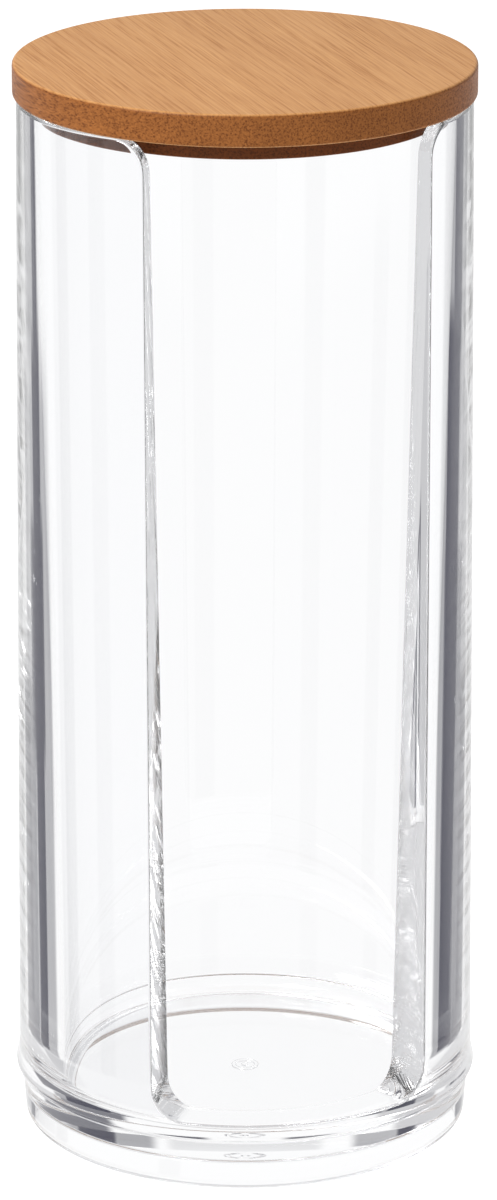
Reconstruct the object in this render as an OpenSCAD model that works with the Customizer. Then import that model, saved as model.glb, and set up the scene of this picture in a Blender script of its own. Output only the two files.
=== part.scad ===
// Cotton pad holder: a clear moulded tube with a tall dispensing slot, closed by a turned bamboo lid.
// Millimetres, +Z up, origin on the table at the middle of the foot. The slot faces -Y.

/* [Holder tube] */
// Height of the rim above the table
rim_z = 182; // [120:1:220]
// Outer diameter at the rim
rim_d = 76.4; // [72:0.2:79]
// Outer diameter where the tube meets the flared base
base_d = 78.9; // [78:0.1:79.4]
// Wall thickness at the rim
rim_wall = 2.7; // [2:0.1:4]
// Wall thickness just above the floor
base_wall = 7.2; // [4:0.1:8.4]
// Rounding of the rim's two edges
rim_round = 0.8; // [0.3:0.1:0.9]

/* [Ledge and foot] */
// Diameter of the ledge round the base, the widest place of the holder
ledge_d = 80; // [79.6:0.1:84]
// Height of the ledge's lower edge above the table
ledge_z = 8.8; // [7:0.1:9.6]
// Height over which the wall flares out to the ledge
flare_h = 4.6; // [2:0.1:6]
// Rounding of the ledge's lower edge
ledge_round = 0.7; // [0.3:0.1:0.9]
// Diameter of the foot just under the ledge
foot_top_d = 78.1; // [77:0.1:78.4]
// Diameter of the foot at the table, before its edge is rounded
foot_bottom_d = 76.8; // [75:0.1:77.4]
// Rounding of the foot's outer edge
foot_round = 1.1; // [0.3:0.1:1.3]
// Thickness of the ring that the holder stands on
foot_wall = 3.1; // [2.4:0.1:5]
// Rounding of that ring's inner edge
foot_inner_round = 0.6; // [0.2:0.1:0.9]

/* [Floor] */
// Height of the floor that the pads lie on, above the table
floor_z = 8.4; // [7.4:0.1:11]
// Thickness of the floor
floor_t = 3.8; // [2:0.1:5]
// Radius of the fillet between the floor and the wall
floor_fillet = 3; // [1:0.1:5]
// Radius of the fillet under the floor, where it meets the foot ring
hollow_fillet = 0.8; // [0.3:0.1:1.5]
// Outer diameter of the gate ring under the floor
gate_d = 4.6; // [3:0.1:8]
// Width of the gate ring's wall
gate_wall = 0.6; // [0.3:0.1:0.8]
// Height of the gate ring and of the nub inside it
gate_h = 0.35; // [0.2:0.05:0.8]
// Diameter of the nub inside the gate ring
gate_nub_d = 1.2; // [0.6:0.1:1.3]

/* [Slot] */
// Height of the slot's sill above the table
sill_z = 12.2; // [12:0.1:30]
// Width of the slot at its sill, in degrees round the tube
slot_low_angle = 74.4; // [40:0.2:90]
// Width of the slot at the rim, in degrees round the tube
slot_high_angle = 78.4; // [44:0.2:94]
// Radius of the slot's two lower corners
slot_low_r = 5.5; // [2:0.1:10]
// Radius of the two corners where the slot runs out through the rim
slot_high_r = 5.5; // [2:0.1:10]

/* [Lid] */
// Thickness of the lid's disc
disc_t = 5.5; // [3:0.1:12]
// How far the disc stands out past the rim
disc_overhang = 0.6; // [0:0.1:3]
// Rounding of the disc's two edges
disc_round = 0.6; // [0.2:0.1:1]
// Depth of the spigot that drops into the mouth
spigot_depth = 3; // [2:0.1:8]
// Gap all round between the spigot and the mouth of the tube
spigot_clearance = 1; // [0.3:0.1:1.5]
// Chamfer of the spigot's lower edge
spigot_chamfer = 0.4; // [0.2:0.1:0.8]

/* [Hidden] */
$fn = 128;
// Points along one quarter turn of a rounded edge
round_steps = 6;
// Points along one quarter turn of a slot corner
corner_steps = 12;
// How far the slot's cutter runs past the wall and above the rim
overrun = 4;
// Depth by which the gate ring and its nub reach into the floor that carries them
gate_root = 0.2;
// Slope of the hollow's side under the floor, as run over rise, so that the mould draws out
foot_draft = 0.04;

rim_r = rim_d / 2;
base_r = base_d / 2;
ledge_r = ledge_d / 2;
foot_top_r = foot_top_d / 2;
foot_bottom_r = foot_bottom_d / 2;
mouth_r = rim_r - rim_wall;
floor_r = base_r - base_wall;
floor_under_z = floor_z - floor_t;
ledge_mid_z = ledge_z + ledge_round;
foot_inner_r = foot_bottom_r - foot_wall;
hollow_r = foot_inner_r - foot_draft * floor_under_z;
low_wall_r = base_r - base_wall / 2;
high_wall_r = rim_r - rim_wall / 2;
disc_r = rim_r + disc_overhang;
spigot_r = mouth_r - spigot_clearance;

// Points of an arc about (x, y), from angle a to angle b
function arc(x, y, r, a, b, steps) =
    [for (i = [0 : steps]) let (t = a + (b - a) * i / steps) [x + r * cos(t), y + r * sin(t)]];

// The concave flare from the ledge, where it is steepest, up to the straight wall
function flare(steps) =
    [for (i = [1 : steps]) let (t = 1 - i / steps)
        [base_r + (ledge_r - base_r) * t * t, ledge_mid_z + flare_h * (1 - t)]];

// Angle round the tube that a length takes up at radius r
function degrees_of(length, r) = length / r * 180 / PI;

// Half the slot's width in degrees, at height z: it opens a little towards the rim
function slot_half(z) =
    (slot_low_angle + (slot_high_angle - slot_low_angle) * (z - sill_z) / (rim_z - sill_z)) / 2;

// Right edge of the slot as [degrees, height], from the sill up and out through the rim
function slot_edge() =
    let (
        low_turn = degrees_of(slot_low_r, low_wall_r),
        high_turn = degrees_of(slot_high_r, high_wall_r),
        low_z = sill_z + slot_low_r,
        high_z = rim_z - slot_high_r,
        low_middle = slot_half(low_z) - low_turn,
        high_middle = slot_half(high_z) + high_turn
    )
    concat(
        [for (p = arc(0, 0, 1, 270, 360, corner_steps))
            [low_middle + low_turn * p[0], low_z + slot_low_r * p[1]]],
        [for (p = arc(0, 0, 1, 180, 90, corner_steps))
            [high_middle + high_turn * p[0], high_z + slot_high_r * p[1]]],
        [[high_middle, rim_z + overrun]]
    );

// The slot's outline where it stands at distance y in front of the tube's axis
function slot_outline(y) =
    let (right = [for (p = slot_edge()) [y * tan(p[0]), p[1]]])
    concat(right, [for (i = [len(right) - 1 : -1 : 0]) [-right[i][0], right[i][1]]]);

// Half section of the tube, its floor, ledge and foot, in one outline
module holder_section() {
    polygon(concat(
        [[0, floor_under_z]],
        arc(hollow_r - hollow_fillet, floor_under_z - hollow_fillet, hollow_fillet, 90, 0, round_steps),
        arc(foot_inner_r + foot_inner_round, foot_inner_round, foot_inner_round, 180, 270, round_steps),
        arc(foot_bottom_r - foot_round, foot_round, foot_round, 270, 360, round_steps),
        [[foot_top_r, ledge_z]],
        arc(ledge_r - ledge_round, ledge_mid_z, ledge_round, 270, 360, round_steps),
        flare(round_steps),
        arc(rim_r - rim_round, rim_z - rim_round, rim_round, 0, 90, round_steps),
        arc(mouth_r + rim_round, rim_z - rim_round, rim_round, 90, 180, round_steps),
        arc(floor_r - floor_fillet, floor_z + floor_fillet, floor_fillet, 0, -90, round_steps),
        [[0, floor_z]]
    ));
}

// Cutter for the slot: its side faces run straight out from the tube's axis, and its sill is level
module slot_cutter() {
    near = min(floor_r, mouth_r) * cos(slot_high_angle / 2) - overrun;
    far = max(ledge_r, base_r, rim_r) + overrun;
    rotate([90, 0, 0])
        translate([0, 0, near])
            linear_extrude(height = far - near, scale = [far / near, 1], slices = 1, $fn = 0)
                polygon(slot_outline(near));
}

// Mark left by the mould's gate: a low ring with a nub in it, under the middle of the floor
module gate_mark() {
    translate([0, 0, floor_under_z - gate_h]) {
        difference() {
            cylinder(d = gate_d, h = gate_h + gate_root);
            translate([0, 0, -gate_root])
                cylinder(d = gate_d - 2 * gate_wall, h = gate_h + gate_root);
        }
        cylinder(d = gate_nub_d, h = gate_h + gate_root);
    }
}

// The clear tube, moulded in one piece with its floor, ledge and foot
module holder_body() {
    color("lightcyan", 0.35) {
        difference() {
            rotate_extrude() holder_section();
            slot_cutter();
        }
        gate_mark();
    }
}

// Bamboo disc that lies on the rim
module lid_disc() {
    color("peru")
        translate([0, 0, rim_z])
            rotate_extrude()
                polygon(concat(
                    [[0, 0]],
                    arc(disc_r - disc_round, disc_round, disc_round, 270, 360, round_steps),
                    arc(disc_r - disc_round, disc_t - disc_round, disc_round, 0, 90, round_steps),
                    [[0, disc_t]]
                ));
}

// Smaller bamboo disc, glued under the first, that keeps the lid in the mouth of the tube
module lid_spigot() {
    color("sienna")
        translate([0, 0, rim_z - spigot_depth])
            rotate_extrude()
                polygon([
                    [0, 0],
                    [spigot_r - spigot_chamfer, 0],
                    [spigot_r, spigot_chamfer],
                    [spigot_r, spigot_depth],
                    [0, spigot_depth]
                ]);
}

holder_body();
lid_disc();
lid_spigot();
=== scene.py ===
import math
from typing import NamedTuple

import bmesh
import bpy
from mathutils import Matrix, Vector


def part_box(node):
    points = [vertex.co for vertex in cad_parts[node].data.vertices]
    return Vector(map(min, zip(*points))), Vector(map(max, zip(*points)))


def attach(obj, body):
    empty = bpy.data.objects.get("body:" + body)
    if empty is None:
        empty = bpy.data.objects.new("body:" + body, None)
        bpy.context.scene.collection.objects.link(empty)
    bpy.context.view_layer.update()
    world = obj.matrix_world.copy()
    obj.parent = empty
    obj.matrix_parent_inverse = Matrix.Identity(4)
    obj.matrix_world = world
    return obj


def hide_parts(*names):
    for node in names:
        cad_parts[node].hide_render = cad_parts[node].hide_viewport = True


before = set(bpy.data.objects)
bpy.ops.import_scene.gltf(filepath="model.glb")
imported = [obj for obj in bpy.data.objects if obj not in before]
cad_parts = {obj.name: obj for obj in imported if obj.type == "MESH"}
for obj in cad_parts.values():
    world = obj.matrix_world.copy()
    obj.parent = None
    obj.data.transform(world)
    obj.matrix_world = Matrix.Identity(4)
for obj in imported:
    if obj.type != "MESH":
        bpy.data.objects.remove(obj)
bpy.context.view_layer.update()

MM = 0.001
UP = Vector((0, 0, 1))
WHITE = (1, 1, 1, 1)

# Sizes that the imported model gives
ledge_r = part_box("holder_body")[1].x / MM
rim_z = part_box("holder_body")[1].z / MM
disc_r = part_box("lid_disc")[1].x / MM
lid_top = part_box("lid_disc")[1].z / MM
spigot_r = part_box("lid_spigot")[1].x / MM
spigot_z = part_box("lid_spigot")[0].z / MM

# Wall of the tube
disc_overhang = 0.6
ledge_overhang = 0.55
rim_wall = 2.7
base_wall = 7.2
rim_round = 0.8
rim_r = disc_r - disc_overhang
base_r = ledge_r - ledge_overhang
mouth_r = rim_r - rim_wall
floor_r = base_r - base_wall

# Ledge and foot
ledge_z = 8.8
ledge_round = 0.7
flare_h = 4.6
foot_step = 0.95
foot_draw = 1.6
foot_wall = 3.1
foot_round = 1.1
foot_inner_round = 0.6
hollow_draw = 0.2
foot_top_r = ledge_r - foot_step
foot_bottom_r = ledge_r - foot_draw
foot_inner_r = foot_bottom_r - foot_wall
hollow_r = foot_inner_r - hollow_draw
ledge_mid_z = ledge_z + ledge_round
flare_top = ledge_mid_z + flare_h

# Floor, and the mark of the mould's gate under it
floor_z = 8.4
floor_t = 3.8
floor_fillet = 3
hollow_fillet = 0.8
gate_r = 2.3
gate_bore_r = 1.7
gate_nub_r = 0.6
gate_h = 0.35
floor_under_z = floor_z - floor_t
gate_z = floor_under_z - gate_h

# Slot
sill_z = 12.2
slot_low_angle = 74.4
slot_high_angle = 78.4
slot_corner_r = 5.5

# Roundings of the moulding's other edges, and the hair of air between rim and lid
slot_round = 0.4
crease_round = 0.2
gate_round = 0.08
rim_gap = 0.03

# Lid
disc_round = 0.6
spigot_chamfer = 0.4
board_edge = 0.05

# How finely the meshes are divided
BACK_COLUMNS = 450
SILL_COLUMNS = 100
CORNER_ROWS = 12
SIDE_ROWS = 24
LIP_STEPS = 6
ARC_STEPS = 5
FLARE_STEPS = 10
LID_COLUMNS = 256

# Cards round the studio: (middle, half its width, lowest, highest, brightness), in degrees round
# the holder, counted to the left from straight behind it, and in degrees above the level
CARDS = (
    # Left of the backdrop
    (22.3, 3.6, -28, 6, 0.02), (21.8, 5.7, -28, -18.9, 0), (20, 9.5, -23.4, -20.6, 0.03),
    (19.5, 17.5, -29, -19.4, 0.45), (5, 11, -29.5, -22.1, 0.16), (16.5, 9, -19.6, -14, 0.46),
    # Right of the backdrop
    (-45.5, 6.5, -19.6, 6, 0.04), (-49.5, 9, -28, -18.6, 0), (-46, 13.5, -24.7, -20.8, 0.1),
    (-47.5, 17, -29, -16, 0.38), (-28.5, 5.5, -28, -19.5, 0.42), (-31, 10.5, -29.5, -22, 0.1),
    # Under the middle of the backdrop, which the ledge shows as a line
    (-13.5, 14, -18.5, -16, 0.78),
    # Low down at the left, high up on both sides and over the camera, and just under the level
    (35, 19, -40, -29, 0.55), (-56, 16, 10, 45, 0.15), (35, 18, 8, 50, 0.6),
    (152, 100, 5, 70, 0.7), (-40, 12, -12, -3, 0.35), (28, 20, -12, -3, 0.4),
    # The room round the camera, with dark edges for the holder's other sides
    (229, 38, -27, -14, 0.56), (115, 70, -27, -14, 0.66),
    (54, 5, -27, 6, 0.12), (81, 6, -27, -14, 0.12), (126, 6, -27, 6, 0.12),
    (189, 6, -27, -14, 0.12), (261, 6, -27, -14, 0.12),
)
CEILING = (0, 180, 2, 40, 0.7)


def outer_radius(z):
    """The tube's outside: a straight draft, with a flare just above the ledge."""
    if z < flare_top:
        share = 1 - (z - ledge_mid_z) / flare_h
        return base_r + (ledge_r - base_r) * share * share
    return base_r + (rim_r - base_r) * (z - flare_top) / (rim_z - rim_round - flare_top)


def inner_radius(z):
    """The tube's bore, which widens towards the mouth."""
    low = floor_z + floor_fillet
    return floor_r + (mouth_r - floor_r) * (z - low) / (rim_z - rim_round - low)


def middle_radius(z):
    """Radius half way through the wall."""
    return (outer_radius(z) + inner_radius(z)) / 2


def slot_half(z):
    """Half the slot's width in degrees."""
    share = (z - sill_z) / (rim_z - sill_z)
    return (slot_low_angle + (slot_high_angle - slot_low_angle) * share) / 2


def slot_edge():
    """Right edge of the slot, from the sill up to the rim.

    Each point is (degrees, height, way out of the wall, rounding of the edge).
    """
    low_z = sill_z + slot_corner_r
    high_z = rim_z - rim_gap - slot_corner_r
    low_turn = math.degrees(slot_corner_r / middle_radius(low_z))
    high_turn = math.degrees(slot_corner_r / middle_radius(high_z))
    low_middle = slot_half(low_z) - low_turn
    high_middle = slot_half(high_z) + high_turn
    edge = []
    for step in range(CORNER_ROWS + 1):
        turn = math.radians(270 + 90 * step / CORNER_ROWS)
        across, up = math.cos(turn), math.sin(turn)
        place = (low_middle + low_turn * across, low_z + slot_corner_r * up)
        edge.append((*place, (-across, -up), slot_round))
    for step in range(1, SIDE_ROWS):
        z = low_z + (high_z - low_z) * step / SIDE_ROWS
        edge.append((slot_half(z), z, (-1, 0), slot_round))
    for step in range(CORNER_ROWS + 1):
        share = step / CORNER_ROWS
        turn = math.radians(180 - 90 * share)
        across, up = math.cos(turn), math.sin(turn)
        place = (high_middle + high_turn * across, high_z + slot_corner_r * up)
        rounding = slot_round + (rim_round - slot_round) * share
        edge.append((*place, (across, up), rounding))
    return edge


def outward(degrees):
    """Direction away from the axis. 0 degrees is the middle of the slot, 90 the right side."""
    turn = math.radians(degrees)
    return Vector((math.sin(turn), -math.cos(turn), 0))


def sideways(degrees):
    """Direction round the tube, towards more degrees."""
    turn = math.radians(degrees)
    return Vector((math.cos(turn), math.sin(turn), 0))


def wall_normal(degrees, z, radius_at, side):
    """Way out of the wall's material: side is 1 on the outside and -1 in the bore."""
    reach = 0.01
    slope = (radius_at(z + reach) - radius_at(z - reach)) / (2 * reach)
    return (outward(degrees) - UP * slope) * side


def softened(corners):
    """Outline through (radius, height, rounding) corners, with an arc at each inner one."""
    outline = [corners[0][:2]]
    for before, corner, after in zip(corners, corners[1:], corners[2:]):
        place = Vector(corner[:2])
        back = (Vector(before[:2]) - place).normalized()
        ahead = (Vector(after[:2]) - place).normalized()
        half = back.angle(ahead) / 2
        centre = place + (back + ahead).normalized() * corner[2] / math.sin(half)
        reach = corner[2] / math.tan(half)
        first = (place + back * reach - centre).normalized()
        last = (place + ahead * reach - centre).normalized()
        for step in range(ARC_STEPS + 1):
            spoke = first.slerp(last, step / ARC_STEPS).normalized()
            outline.append(tuple(centre + spoke * corner[2]))
    return outline + [corners[-1][:2]]


def outline_normals(outline):
    """Left-hand normals of an outline, in which a long stretch outweighs a short one."""
    normals = []
    for i in range(len(outline)):
        total = Vector((0, 0))
        for a, b in ((i - 1, i), (i, i + 1)):
            if a >= 0 and b < len(outline):
                step = Vector(outline[b]) - Vector(outline[a])
                total += Vector((-step.y, step.x))
        normals.append(total.normalized())
    return normals


class Skin:
    """A closed mesh in the making, with the true surface direction kept at each point."""

    def __init__(self):
        self.points = []
        self.normals = []
        self.faces = []

    def point(self, degrees, radius, z, normal):
        """Adds a point and returns its number."""
        self.points.append((outward(degrees) * radius + UP * z) * MM)
        self.normals.append(normal.normalized())
        return len(self.points) - 1

    def strip(self, first, second, closed=False):
        """Quads between two rows of as many points."""
        for i in range(len(first) if closed else len(first) - 1):
            j = (i + 1) % len(first)
            self.faces.append((first[i], first[j], second[j], second[i]))

    def fan(self, ring, z, normal):
        """Triangles from a ring to the axis."""
        pole = self.point(0, 0, z, normal)
        for i in range(len(ring)):
            self.faces.append((ring[i], ring[(i + 1) % len(ring)], pole))

    def turn(self, angles, outline, start=None, side=1):
        """Surface turned from an outline. It grows from a ring or from the axis, and ends on the axis."""
        rows = list(zip(outline, outline_normals(outline)))
        ring = start
        for (radius, z), normal in rows[1:]:
            if radius == 0:
                self.fan(ring, z, UP * normal.y * side)
                continue
            fresh = [
                self.point(a, radius, z, (outward(a) * normal.x + UP * normal.y) * side)
                for a in angles
            ]
            if ring is None:
                self.fan(fresh, rows[0][0][1], UP * rows[0][1].y * side)
            else:
                self.strip(ring, fresh, closed=True)
            ring = fresh


class Level(NamedTuple):
    """One height of the wall, from the slot's right edge round the back to its left edge.

    outer and bore are the points there, way and rounding those of the slot's right edge.
    """
    z: float
    angles: list
    outer: list
    bore: list
    way: tuple
    rounding: float


def wall_row(skin, angles, z, radius_at, side):
    """Points along the wall at one height: side is 1 on the outside and -1 in the bore."""
    return [skin.point(a, radius_at(z), z, wall_normal(a, z, radius_at, side)) for a in angles]


def wall_skin(skin):
    """Wall of the tube from the sill up, with a rounded lip round the slot and along the rim.

    Returns the full circles just under the sill: (angles, outer ring, bore's ring).
    """
    levels = []
    for degrees, z, way, rounding in slot_edge():
        start = degrees - math.degrees(way[0] * rounding / middle_radius(z))
        height = z - way[1] * rounding
        angles = [start + (360 - 2 * start) * i / BACK_COLUMNS for i in range(BACK_COLUMNS + 1)]
        outer = wall_row(skin, angles, height, outer_radius, 1)
        bore = wall_row(skin, angles, height, inner_radius, -1)
        levels.append(Level(height, angles, outer, bore, way, rounding))
    for low, high in zip(levels, levels[1:]):
        skin.strip(low.outer, high.outer)
    for low, high in zip(levels, levels[1:]):
        skin.strip(low.bore, high.bore)

    low, top = levels[0], levels[-1]
    start = low.angles[0]
    sill_angles = [360 - start + 2 * start * i / SILL_COLUMNS for i in range(1, SILL_COLUMNS)]
    sill_outer = wall_row(skin, sill_angles, low.z, outer_radius, 1)
    sill_bore = wall_row(skin, sill_angles, low.z, inner_radius, -1)

    # Once round the opening: up the slot's right edge, round the rim, down the left edge, along the sill
    loop = []
    for level in levels:
        loop.append((level.angles[0], level.z, level.way, level.rounding, level.outer[0], level.bore[0]))
    for angle, outer, bore in list(zip(top.angles, top.outer, top.bore))[1:-1]:
        loop.append((angle, top.z, (0, 1), rim_round, outer, bore))
    for level in reversed(levels):
        way = (-level.way[0], level.way[1])
        loop.append((level.angles[-1], level.z, way, level.rounding, level.outer[-1], level.bore[-1]))
    for angle, outer, bore in zip(sill_angles, sill_outer, sill_bore):
        loop.append((angle, low.z, (0, 1), slot_round, outer, bore))
    sections = [lip_section(skin, *stop) for stop in loop]
    for first, second in zip(sections, sections[1:] + sections[:1]):
        skin.strip(first, second)
    return low.angles + sill_angles, low.outer + sill_outer, low.bore + sill_bore


def lip_section(skin, degrees, z, way, rounding, outer_point, bore_point):
    """Points across the wall's edge, from the outside over two roundings to the bore."""
    out_of_wall = sideways(degrees) * way[0] + UP * way[1]
    section = [outer_point]
    for step in range(1, 2 * LIP_STEPS + 1):
        on_bore = step > LIP_STEPS
        turn = math.radians(90 * (step - on_bore) / LIP_STEPS)
        if on_bore:
            radius = inner_radius(z) + rounding * (1 + math.cos(turn))
        else:
            radius = outer_radius(z) - rounding * (1 - math.cos(turn))
        push = rounding * math.sin(turn)
        angle = degrees + math.degrees(way[0] * push / middle_radius(z))
        normal = outward(degrees) * math.cos(turn) + out_of_wall * math.sin(turn)
        section.append(skin.point(angle, radius, z + way[1] * push, normal))
    return section + [bore_point]


def tube_skin():
    """The whole moulding: wall, ledge, foot, the floor's underside with its gate mark, and the floor."""
    skin = Skin()
    angles, outer_ring, bore_ring = wall_skin(skin)
    top = sill_z - slot_round
    flare = [
        (outer_radius(z), z)
        for z in (top + (ledge_mid_z - top) * i / FLARE_STEPS for i in range(FLARE_STEPS))
    ]
    foot = softened([
        (ledge_r, ledge_mid_z, 0),
        (ledge_r, ledge_z, ledge_round),
        (foot_top_r, ledge_z, crease_round),
        (foot_bottom_r, 0, foot_round),
        (foot_inner_r, 0, foot_inner_round),
        (hollow_r, floor_under_z, hollow_fillet),
        (gate_r, floor_under_z, gate_round),
        (gate_r, gate_z, gate_round),
        (gate_bore_r, gate_z, gate_round),
        (gate_bore_r, floor_under_z, gate_round),
        (gate_nub_r, floor_under_z, gate_round),
        (gate_nub_r, gate_z, gate_round),
        (0, gate_z, 0),
    ])
    skin.turn(angles, flare + foot[1:], start=outer_ring)
    well = softened([
        (inner_radius(top), top, 0),
        (floor_r, floor_z, floor_fillet),
        (0, floor_z, 0),
    ])
    skin.turn(angles, well, start=bore_ring, side=-1)
    return skin


def board_skin(corners):
    """A turned board, from the middle of its top to the middle of its underside."""
    skin = Skin()
    skin.turn([360 * i / LID_COLUMNS for i in range(LID_COLUMNS)], softened(corners))
    return skin


def make_piece(name, skin, material, body, node):
    """Turns a skin into a piece that rides on a body and stands for a CAD node."""
    mesh = bpy.data.meshes.new(name)
    mesh.from_pydata(skin.points, [], skin.faces)
    shape = bmesh.new()
    shape.from_mesh(mesh)
    bmesh.ops.recalc_face_normals(shape, faces=shape.faces)
    shape.to_mesh(mesh)
    shape.free()
    mesh.shade_smooth()
    mesh.normals_split_custom_set_from_vertices(skin.normals)
    mesh.materials.append(material)
    piece = bpy.data.objects.new(name, mesh)
    bpy.context.scene.collection.objects.link(piece)
    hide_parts(node)
    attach(piece, body)
    return piece


def add_node(tree, kind, inputs=None, **settings):
    """A node with its settings, and its inputs by name or number as values or links."""
    node = tree.nodes.new(kind)
    for name, value in settings.items():
        setattr(node, name, value)
    for name, value in (inputs or {}).items():
        if isinstance(value, bpy.types.NodeSocket):
            tree.links.new(value, node.inputs[name])
        else:
            node.inputs[name].default_value = value
    return node


def calc(tree, operation, *values):
    """Result of a Math node on values or links."""
    return add_node(tree, "ShaderNodeMath", dict(enumerate(values)), operation=operation).outputs[0]


def eased(tree, value, low, high, to_low=0, to_high=1):
    """Value between low and high, brought smoothly into another range."""
    return add_node(tree, "ShaderNodeMapRange", {
        "Value": value, "From Min": low, "From Max": high,
        "To Min": to_low, "To Max": to_high}, interpolation_type="SMOOTHSTEP").outputs["Result"]


def blend(tree, share, first, second):
    """Colour between two colours: share 0 gives the first and 1 the second."""
    return add_node(tree, "ShaderNodeMix", {
        "Factor": share, 6: first, 7: second}, data_type="RGBA").outputs[2]


def between(tree, share, first, second):
    """Value between two values: share 0 gives the first and 1 the second."""
    return add_node(tree, "ShaderNodeMix", {"Factor": share, 2: first, 3: second}).outputs[0]


def noise(tree, vector, scale, detail, roughness=0.5):
    """Value of a cloudy noise."""
    return add_node(tree, "ShaderNodeTexNoise", {
        "Vector": vector, "Scale": scale, "Detail": detail, "Roughness": roughness}).outputs["Fac"]


def new_group(name, inputs, outputs):
    """An empty shader node group with its sockets, and its input and output nodes."""
    group = bpy.data.node_groups.new(name, "ShaderNodeTree")
    for in_out, sockets in (("INPUT", inputs), ("OUTPUT", outputs)):
        for socket, kind in sockets.items():
            group.interface.new_socket(socket, in_out=in_out, socket_type=kind)
    return group, add_node(group, "NodeGroupInput"), add_node(group, "NodeGroupOutput")


def new_material(name):
    """An empty material, and the tree to build it in."""
    material = bpy.data.materials.new(name)
    material.use_nodes = True
    material.node_tree.nodes.clear()
    return material, material.node_tree


def show(tree, shader, output="ShaderNodeOutputMaterial"):
    """Makes a shader the one that its material or world shows."""
    tree.links.new(shader.outputs[0], add_node(tree, output).inputs["Surface"])


def colour(red, green, blue):
    """Colour from the 0 to 255 steps of a screen, as the renderer wants it."""
    def linear(step):
        share = step / 255
        return share / 12.92 if share <= 0.04045 else ((share + 0.055) / 1.055) ** 2.4
    return (linear(red), linear(green), linear(blue), 1)


def bamboo_group():
    """Solid bamboo: fibres along the grain, which show as lines on a face and as specks where cut.

    A grain is (repeats in a metre along the fibres, repeats in a metre across them).
    """
    group, given, result = new_group(
        "bamboo fibres",
        {"Pale": "NodeSocketColor", "Deep": "NodeSocketColor",
         "Speck Depth": "NodeSocketFloat", "Line Depth": "NodeSocketFloat"},
        {"Color": "NodeSocketColor", "Roughness": "NodeSocketFloat", "Height": "NodeSocketFloat"})
    grain_turn = math.radians(85.3)
    band_grain, streak_grain, fibre_grain, bundle_grain = (5, 130), (30, 2300), (130, 4100), (60, 2400)
    grain_detail, grain_roughness = 2, 0.6
    strip_width = 7.5
    strip_start = 0.35
    darkest_tone, strip_tone = 0.1, 0.07

    place = add_node(group, "ShaderNodeTexCoord")
    turned = add_node(group, "ShaderNodeVectorRotate", {
        "Vector": place.outputs["Object"], "Angle": grain_turn}, rotation_type="Z_AXIS").outputs["Vector"]

    def stretched(along, across):
        return add_node(group, "ShaderNodeVectorMath", {
            0: turned, 1: (along, across, across)}, operation="MULTIPLY").outputs[0]

    bands, streaks, fibres = (
        noise(group, stretched(*grain), 1, grain_detail, grain_roughness)
        for grain in (band_grain, streak_grain, fibre_grain)
    )
    bundles = add_node(group, "ShaderNodeTexVoronoi", {
        "Vector": stretched(*bundle_grain), "Scale": 1, "Randomness": 1}, feature="F1")
    speck = eased(group, bundles.outputs["Distance"], 0.42, 0.12)

    # Strips that the board is glued up from, each a little paler or deeper
    parts = add_node(group, "ShaderNodeSeparateXYZ", {"Vector": turned})
    strip = calc(group, "MULTIPLY", parts.outputs["Y"], 1 / (strip_width * MM))
    strip = calc(group, "FLOOR", calc(group, "ADD", strip, strip_start))
    strip = add_node(group, "ShaderNodeTexWhiteNoise", {"W": strip}, noise_dimensions="1D")
    tone = calc(group, "MULTIPLY", strip.outputs["Value"], strip_tone)
    tone = calc(group, "ADD", tone, darkest_tone)

    # Each pattern makes the bamboo paler: (pattern, where it starts, where it is full, by how much)
    for pattern, low, high, lift in (
            (bands, 0.3, 0.7, 0.1), (streaks, 0.25, 0.75, 0.36), (fibres, 0.25, 0.75, 0.28)):
        tone = calc(group, "ADD", tone, calc(group, "MULTIPLY", eased(group, pattern, low, high), lift))

    # Dark lines lie where a streak and a fibre meet, and dark specks where a bundle of fibres ends
    lines = calc(group, "MULTIPLY", eased(group, streaks, 0.5, 0.32), eased(group, fibres, 0.62, 0.4))
    for mark, depth in ((lines, "Line Depth"), (speck, "Speck Depth")):
        tone = calc(group, "SUBTRACT", tone, calc(group, "MULTIPLY", mark, given.outputs[depth]))
    group.links.new(blend(group, tone, given.outputs["Deep"], given.outputs["Pale"]),
                    result.inputs["Color"])
    group.links.new(eased(group, streaks, 0.2, 0.8, 0.5, 0.38), result.inputs["Roughness"])
    group.links.new(calc(group, "SUBTRACT", fibres, speck), result.inputs["Height"])
    return group


def bamboo(name, fibres, face, cut_edge):
    """Lacquered bamboo. face and cut_edge are (pale, deep) colours."""
    # How dark the specks are, and the lines
    face_marks, edge_marks = (0.08, 0.35), (0.52, 0.25)
    relief = 0.1
    material, tree = new_material(name)
    facing = add_node(tree, "ShaderNodeNewGeometry")
    lean = add_node(tree, "ShaderNodeSeparateXYZ", {"Vector": facing.outputs["True Normal"]})
    is_face = eased(tree, calc(tree, "ABSOLUTE", lean.outputs["Z"]), 0.5, 0.9)
    on_face, on_edge = (
        add_node(tree, "ShaderNodeGroup", {
            "Pale": pale, "Deep": deep, "Speck Depth": specks, "Line Depth": lines}, node_tree=fibres)
        for (pale, deep), (specks, lines) in ((face, face_marks), (cut_edge, edge_marks))
    )
    bump = add_node(tree, "ShaderNodeBump", {
        "Height": on_face.outputs["Height"], "Strength": 0.12, "Distance": relief * MM})
    show(tree, add_node(tree, "ShaderNodeBsdfPrincipled", {
        "Base Color": blend(tree, is_face, on_edge.outputs["Color"], on_face.outputs["Color"]),
        "Roughness": on_face.outputs["Roughness"], "Normal": bump.outputs["Normal"],
        "Coat Weight": 0.02, "Coat Roughness": 0.35, "Specular IOR Level": 0.1}))
    return material


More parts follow.
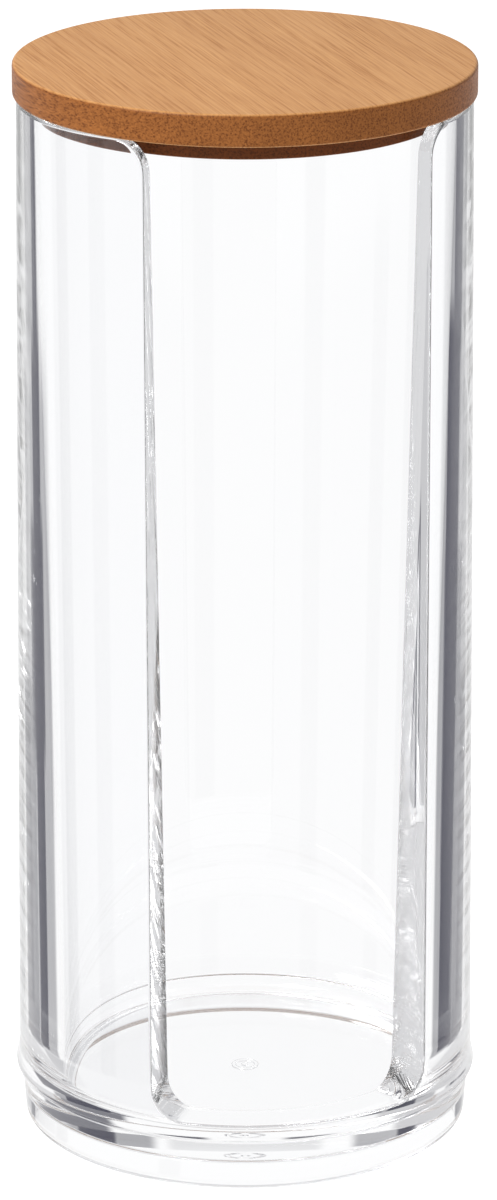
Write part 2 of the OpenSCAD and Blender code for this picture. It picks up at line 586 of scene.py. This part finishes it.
def clear_plastic():
    """Clear moulded plastic: almost no tint, with the faint ripple and haze that moulding leaves."""
    ripple_scale, haze_scale = 55, 160
    most_haze = 0.02
    relief = 0.05
    deeper_tint, paler_tint = (0.982, 0.986, 0.995, 1), (0.995, 0.996, 1, 1)
    material, tree = new_material("clear moulded plastic")
    place = add_node(tree, "ShaderNodeTexCoord").outputs["Object"]
    haze = noise(tree, place, haze_scale, detail=3)
    gloss = add_node(tree, "ShaderNodeMapRange", {
        "Value": haze, "From Min": 0.35, "From Max": 0.7, "To Min": 0.0, "To Max": most_haze})
    ripple = noise(tree, place, ripple_scale, detail=1)
    bump = add_node(tree, "ShaderNodeBump", {
        "Height": ripple, "Strength": 0.003, "Distance": relief * MM})
    show(tree, add_node(tree, "ShaderNodeBsdfPrincipled", {
        "Base Color": blend(tree, haze, deeper_tint, paler_tint), "Roughness": gloss.outputs["Result"],
        "Normal": bump.outputs["Normal"], "Transmission Weight": 1, "IOR": 1.52}))
    return material


def make_tube():
    """The clear moulding. It casts no shadow, because a rendered one comes out far too dark for it."""
    tube = make_piece("clear_tube", tube_skin(), clear_plastic(), "holder", "holder_body")
    tube.visible_shadow = False


def make_lid():
    """The lid's disc, and the spigot glued under it, whose colours are painted darker than the disc's as
    the shade under the disc.
    """
    fibres = bamboo_group()
    disc = board_skin([
        (0, lid_top, 0), (disc_r, lid_top, disc_round), (disc_r, rim_z, disc_round), (0, rim_z, 0)])
    disc_bamboo = bamboo(
        "bamboo disc", fibres,
        face=(colour(211, 158, 101), colour(169, 115, 65)),
        cut_edge=(colour(158, 99, 49), colour(97, 53, 22)))
    make_piece("bamboo_disc", disc, disc_bamboo, "lid", "lid_disc")
    spigot = board_skin([
        (0, rim_z, 0), (spigot_r, rim_z, board_edge), (spigot_r, spigot_z, spigot_chamfer),
        (0, spigot_z, 0)])
    # The spigot's colours are painted shade: darker than the disc's, they stand in for the shade that falls
    # under the disc.
    spigot_bamboo_painted_shade = bamboo(
        "bamboo spigot painted shade", fibres,
        face=(colour(150, 94, 50), colour(96, 53, 24)),
        cut_edge=(colour(109, 59, 24), colour(69, 35, 12)))
    make_piece("bamboo_spigot", spigot, spigot_bamboo_painted_shade, "lid", "lid_spigot")


def card_shade(tree, turn, rise, card):
    """How bright the studio is at one card, by the angle round the holder and the angle above the level."""
    middle, half, low, high, level = card
    soft_side, soft_end = 1.5, 0.6
    away = calc(tree, "SUBTRACT", turn, math.radians(middle))
    away = calc(tree, "WRAP", away, math.pi, -math.pi)
    above = calc(tree, "SUBTRACT", rise, math.radians((low + high) / 2))
    covers = [
        eased(tree, calc(tree, "ABSOLUTE", offset), math.radians(reach + soft), math.radians(reach - soft))
        for offset, reach, soft in ((away, half, soft_side), (above, (high - low) / 2, soft_end))
    ]
    return calc(tree, "MULTIPLY_ADD", calc(tree, "MULTIPLY", *covers), level - 1, 1)


def light_world():
    """White studio under a grey ceiling, with cards that only the clear tube shows."""
    darkest = (0.0, 0.0, 0.03, 1)
    long_way_light = 0.7
    side_light, side_fall = 0.66, -0.28
    # These lie between whole counts of how often light was let through or turned back
    none, few, many = 0.5, 3.5, 6.5

    world = bpy.data.worlds.new("white studio")
    bpy.context.scene.world = world
    world.use_nodes = True
    tree = world.node_tree
    tree.nodes.clear()
    place = add_node(tree, "ShaderNodeTexCoord")
    parts = add_node(tree, "ShaderNodeSeparateXYZ", {"Vector": place.outputs["Generated"]})
    left = calc(tree, "MULTIPLY", parts.outputs["X"], -1)
    turn = calc(tree, "ARCTAN2", left, parts.outputs["Y"])
    rise = calc(tree, "ARCSINE", parts.outputs["Z"])
    carded = 1
    for card in CARDS:
        carded = calc(tree, "MINIMUM", carded, card_shade(tree, turn, rise, card))

    # The cards show only in light that the wall has turned back on its way through. Light that passes
    # straight through or glances off the outside comes from the white room and its ceiling, and a long
    # way in the wall blurs all to one grey.
    ray = add_node(tree, "ShaderNodeLightPath")
    let_through, turned_back = ray.outputs["Transmission Depth"], ray.outputs["Glossy Depth"]
    in_wall = calc(tree, "GREATER_THAN", turned_back, none)
    in_wall = calc(tree, "MULTIPLY", in_wall, calc(tree, "GREATER_THAN", let_through, none))
    in_wall = calc(tree, "MULTIPLY", in_wall, calc(tree, "LESS_THAN", let_through, few))
    brightness = between(tree, in_wall, card_shade(tree, turn, rise, CEILING), carded)
    long_way = calc(tree, "GREATER_THAN", turned_back, many)
    brightness = between(tree, long_way, brightness, long_way_light)
    on_boards = calc(tree, "MULTIPLY_ADD", parts.outputs["X"], side_fall, side_light)
    seen = blend(tree, brightness, darkest, WHITE)
    seen = blend(tree, ray.outputs["Is Diffuse Ray"], seen, on_boards)
    seen = blend(tree, ray.outputs["Is Camera Ray"], seen, WHITE)
    show(tree, add_node(tree, "ShaderNodeBackground", {"Color": seen, "Strength": 1}),
         output="ShaderNodeOutputWorld")


def white_floor():
    """Pale table that the holder stands on. It is lit from within, so that only a faint shadow shows."""
    size = 3000 * MM
    drop = 0.02
    glow = 0.86
    grey = 0.4
    mesh = bpy.data.meshes.new("floor")
    mesh.from_pydata([(-size, -size, 0), (size, -size, 0), (size, size, 0), (-size, size, 0)],
                     [], [(0, 1, 2, 3)])
    floor = bpy.data.objects.new("floor", mesh)
    bpy.context.scene.collection.objects.link(floor)
    floor.location.z = -drop * MM
    floor.visible_transmission = False
    floor.visible_glossy = False
    material, tree = new_material("white table")
    show(tree, add_node(tree, "ShaderNodeBsdfPrincipled", {
        "Base Color": (grey, grey, grey, 1), "Roughness": 0.9, "Specular IOR Level": 0,
        "Emission Color": WHITE, "Emission Strength": glow}))
    mesh.materials.append(material)


def key_light():
    """Square softbox above the holder's left front, aimed at the lid."""
    data = bpy.data.lights.new("key light", "AREA")
    data.energy = 2.7
    data.size = 250 * MM
    light = bpy.data.objects.new("key light", data)
    bpy.context.scene.collection.objects.link(light)
    light.location = Vector((-360, -200, 550)) * MM
    aim = Vector((0, 0, lid_top * MM)) - light.location
    light.rotation_euler = aim.to_track_quat("-Z", "Y").to_euler()


def place_camera():
    """Camera at the photograph's angle: above the lid's level, a little to the left of the slot."""
    aim = Vector((0, 0, 93.8)) * MM
    distance = 1039.6 * MM
    azimuth = math.radians(-13.5)
    elevation = math.radians(18.25)
    level = math.cos(elevation)
    way = Vector((math.sin(azimuth) * level, -math.cos(azimuth) * level, math.sin(elevation)))
    data = bpy.data.cameras.new("camera")
    data.lens = 182.3
    data.sensor_width = 36
    data.shift_x = 0.0029
    data.shift_y = -0.0043
    camera = bpy.data.objects.new("camera", data)
    bpy.context.scene.collection.objects.link(camera)
    camera.location = aim + way * distance
    camera.rotation_euler = (-way).to_track_quat("-Z", "Y").to_euler()
    bpy.context.scene.camera = camera


def trace_long_ways():
    """Lets the renderer follow light a long way along the inside of the clear wall."""
    bounces = 40
    bpy.context.scene.cycles.max_bounces = bounces
    bpy.context.scene.cycles.glossy_bounces = bounces
    bpy.context.scene.cycles.transmission_bounces = bounces


place_camera()
light_world()
white_floor()
key_light()
trace_long_ways()
bpy.context.scene.view_settings.view_transform = "Standard"

make_tube()
make_lid()
